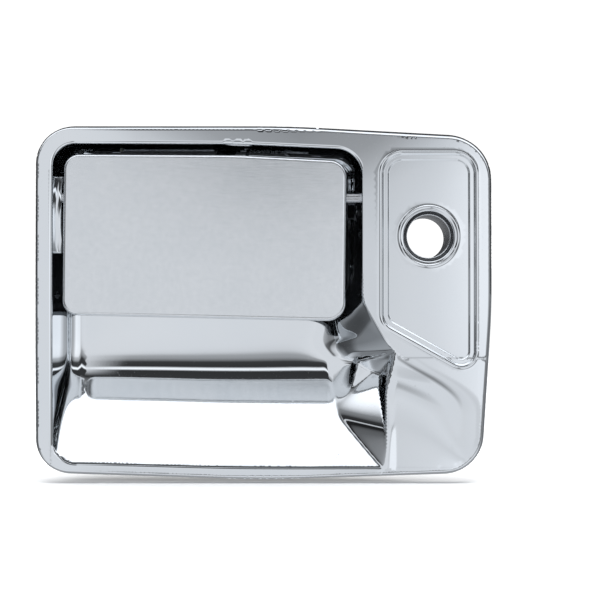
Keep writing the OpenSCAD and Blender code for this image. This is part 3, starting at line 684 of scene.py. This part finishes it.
def wirePiece(name, points, radius):
    curve = bpy.data.curves.new(name, "CURVE")
    curve.dimensions = "3D"
    curve.bevel_depth, curve.bevel_resolution, curve.use_fill_caps = radius * mm, 3, True
    spline = curve.splines.new("POLY")
    spline.points.add(len(points) - 1)
    for point, place in zip(spline.points, points):
        point.co = (*(middle + Vector(place) * mm), 1)
    drawn = bpy.data.objects.new(name, curve)
    scene.collection.objects.link(drawn)
    mesh = bpy.data.meshes.new_from_object(drawn.evaluated_get(bpy.context.evaluated_depsgraph_get()))
    bpy.data.objects.remove(drawn)
    mesh.name = name
    for face in mesh.polygons:
        face.use_smooth = True
    mesh.materials.clear()
    mesh.materials.append(finishes["spring_steel"])
    piece = bpy.data.objects.new(name, mesh)
    scene.collection.objects.link(piece)
    return piece


def buildReturnSpring():
    spring = {"wire": 0.7, "turns": 8.25, "steps": 260, "coil": 3.6}
    low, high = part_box("return_spring")
    x0, x1 = (low.x - middle.x) / mm + spring["wire"], (high.x - middle.x) / mm - spring["wire"]
    rearY, plateY = high.y / mm, hingeY - 1.35
    coil = []
    for i in range(spring["steps"] + 1):
        t = i / spring["steps"]
        angle = 2 * math.pi * spring["turns"] * t
        coil.append((x0 + (x1 - x0) * t, hingeY + spring["coil"] * math.sin(angle),
                     hingeUp + spring["coil"] * math.cos(angle)))
    rear = [(x0, y, hingeUp + spring["coil"]) for y in (rearY - 0.1, hingeY + 6, hingeY + 2)]
    down = [(x1, hingeY + 3.5, hingeUp - 1.5), (x1, hingeY + 2.4, hingeUp - 4),
            (x1, plateY + 1, hingeUp - 8.5), (x1, plateY, hingeUp - 11), (x1, plateY, hingeUp - 26)]
    piece = wirePiece("return_coil", rear + coil[1:] + down, spring["wire"])
    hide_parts("return_spring")
    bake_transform(piece)


def buildLeverSpring():
    spring = {"wire": 0.45, "turns": 1.6, "steps": 90, "coil": 6.3, "rise": 1.35}
    low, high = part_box("lever_spring")
    pivot = Vector(joints["release_lever_turn"]["pos_m"]) - middle
    px, pz, y0 = pivot.x / mm, pivot.z / mm, low.y / mm + spring["wire"]
    coil = []
    for i in range(spring["steps"] + 1):
        t = i / spring["steps"]
        angle = math.radians(-45 + 360 * spring["turns"] * t)
        coil.append((px + spring["coil"] * math.cos(angle), y0 + spring["rise"] * t,
                     pz + spring["coil"] * math.sin(angle)))
    ex, ez = coil[-1][0], coil[-1][2]
    foot = [(px + 9.1, y0, pz - 13.5), (px + 8.2, y0, pz - 9), (px + 6.4, y0, pz - 6.2)]
    hook = [(ex - 3.5, y0 + spring["rise"], ez + 3.5), (ex - 9, y0 + spring["rise"], ez + 6),
            (ex - 9.6, high.y / mm - spring["wire"], ez + 6.2)]
    piece = wirePiece("lever_coil", foot + coil + hook, spring["wire"])
    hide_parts("lever_spring")
    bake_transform(piece)


buildReturnSpring()
buildLeverSpring()


# ---- studs with their threads -----------------------------------------------------------

def buildStuds():
    stud = {"pitch": 1.0, "core": 2.55, "crest": 3.0, "head": 4.7, "headDepth": 1.65, "shank": 5}
    low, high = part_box("studs")
    for name, up in (("upper_stud", high.z / mm - stud["head"]), ("lower_stud", low.z / mm + stud["head"])):
        front, end = low.y / mm, high.y / mm
        profile = [(0, front), (stud["head"] - 0.3, front), (stud["head"], front + 0.3),
                   (stud["head"], front + stud["headDepth"]), (stud["crest"], front + stud["headDepth"]),
                   (stud["crest"], front + stud["shank"])]
        y = front + stud["shank"]
        while y + stud["pitch"] < end - 0.8:
            profile += [(stud["core"], y + stud["pitch"] * 0.45), (stud["core"], y + stud["pitch"] * 0.55),
                        (stud["crest"], y + stud["pitch"])]
            y += stud["pitch"]
        profile += [(stud["core"], end - 0.5), (stud["core"] - 0.5, end), (0, end)]
        bm = bmesh.new()
        verts = [bm.verts.new((r * mm, y * mm, up * mm)) for r, y in profile]
        edges = [bm.edges.new(pair) for pair in zip(verts, verts[1:])]
        bmesh.ops.spin(bm, geom=verts + edges, cent=(0, 0, up * mm), axis=(0, 1, 0), angle=2 * math.pi,
                       steps=40, use_merge=True)
        bmesh.ops.remove_doubles(bm, verts=bm.verts, dist=1e-6)
        bmesh.ops.recalc_face_normals(bm, faces=bm.faces)
        mesh = bpy.data.meshes.new(name)
        bm.to_mesh(mesh)
        bm.free()
        piece = bpy.data.objects.new(name, mesh)
        scene.collection.objects.link(piece)
        finish(piece, "plated_steel", "root", "studs")


buildStuds()
print("small pieces done")


# ---- stage and light --------------------------------------------------------------------

floor = {"colour": (0.93, 0.93, 0.93), "size": 4, "below": 0.001, "backdropY": 1.9, "backdropGlow": 1.1}
sky = {                  # made-up surroundings: angle above the front, in degrees, and the glow there
    "stops": [(-180, 0.30), (-112, 0.40), (-100, 0.80), (-62, 0.80), (-50, 0.22), (-36, 0.30), (-24, 0.74),
              (-8, 0.82), (1, 0.80), (5, 0.72), (8, 0.42), (12, 0.34), (17, 0.05), (26, 0.035), (28.5, 1.1),
              (31, 1.1), (33, 0.035), (45, 0.04), (50, 0.17), (54, 0.26), (57.5, 1.35), (104, 1.35),
              (112, 0.12), (150, 0.03), (180, 0.30)],
    "tint": (0.955, 0.985, 1.03)}


def makePlain(name, size, place, turned, colour, glow):
    mesh = bpy.data.meshes.new(name)
    bm = bmesh.new()
    bmesh.ops.create_grid(bm, x_segments=1, y_segments=1, size=size)
    bm.to_mesh(mesh)
    bm.free()
    made = bpy.data.objects.new(name, mesh)
    made.location = place
    made.rotation_euler = (turned, 0, 0)
    material = bpy.data.materials.new(name)
    material.use_nodes = True
    shader = material.node_tree.nodes["Principled BSDF"]
    shader.inputs["Base Color"].default_value = (*colour, 1)
    shader.inputs["Roughness"].default_value = 0.9
    shader.inputs["Specular IOR Level"].default_value = 0
    shader.inputs["Emission Color"].default_value = (1, 1, 1, 1)
    shader.inputs["Emission Strength"].default_value = glow
    mesh.materials.append(material)
    made.visible_glossy = False
    scene.collection.objects.link(made)


makePlain("floor", floor["size"], (middle.x, 0, bezelLow.z - floor["below"]), 0, floor["colour"], 0)
makePlain("backdrop", floor["size"], (middle.x, floor["backdropY"], 0), math.radians(90), (0, 0, 0),
          floor["backdropGlow"])

topLight = bpy.data.lights.new("top_light", "AREA")
topLight.shape, topLight.size, topLight.energy = "DISK", 1.6, 26
top = bpy.data.objects.new("top_light", topLight)
top.location = (middle.x, -0.1, 1.5)
top.visible_glossy = False
scene.collection.objects.link(top)

world = bpy.data.worlds.new("studio")
world.use_nodes = True
tree = world.node_tree
way = Sock(tree, tree.nodes.new("ShaderNodeTexCoord").outputs["Generated"])
parts = [way.add("ShaderNodeSeparateXYZ", None, {0: way}, output=i) for i in range(3)]
aside = parts[0].sum("MINIMUM", parts[0].sum("ABSOLUTE", parts[0], 0), 0.2)
angle = parts[2].sum("ARCTAN2", parts[2], parts[1] * -1)
turn = angle * (1 / (2 * math.pi)) + 0.5 - aside * (1 - parts[2]) * (80 / 360)
bands = [((degrees + 180) / 360, (value,) * 3) for degrees, value in sky["stops"]]
glow = turn.add("ShaderNodeValToRGB", {"stops": bands}, {"Fac": turn})
sideways = parts[0].add("ShaderNodeValToRGB", {"stops": [
    (0.09, (0.30,) * 3), (0.21, (0.52,) * 3), (0.36, (0.98, 0.97, 0.95)), (0.46, (0.95,) * 3),
    (0.50, (0.93,) * 3), (0.525, (0.86,) * 3), (0.545, (0.94,) * 3), (0.562, (1.18,) * 3),
    (0.74, (1.3,) * 3), (0.88, (0.62,) * 3), (1.0, (0.5,) * 3)]},
    {"Fac": parts[0] * 0.5 + 0.5})
level = between(parts[2].sum("ABSOLUTE", parts[2], 0), 0.62, 0.34)   # the sides count near the horizon
glow = glow.add("ShaderNodeMix", {"data_type": "RGBA", "blend_type": "MULTIPLY"},
                {0: level, 6: glow, 7: sideways}, output=2)
leftCard = parts[0].add("ShaderNodeValToRGB", {"stops": [
    (0.22, (0,) * 3), (0.26, (1,) * 3), (0.425, (1,) * 3), (0.445, (0,) * 3)]}, {"Fac": parts[0] * 0.5 + 0.5})
leftCard = leftCard * between(parts[2], 0.72, 0.62) * between(parts[2], -0.62, -0.5)
leftCard = leftCard * between(parts[1], 0.1, 0.0)
glow = mixed(leftCard, glow, (0.76,) * 3)
glow = glow.add("ShaderNodeMix", {"data_type": "RGBA", "blend_type": "MULTIPLY"},
                {0: 1.0, 6: glow, 7: (*sky["tint"], 1)}, output=2)
tree.links.new(glow.socket, tree.nodes["Background"].inputs["Color"])
scene.world = world
scene.view_settings.view_transform = "Standard"
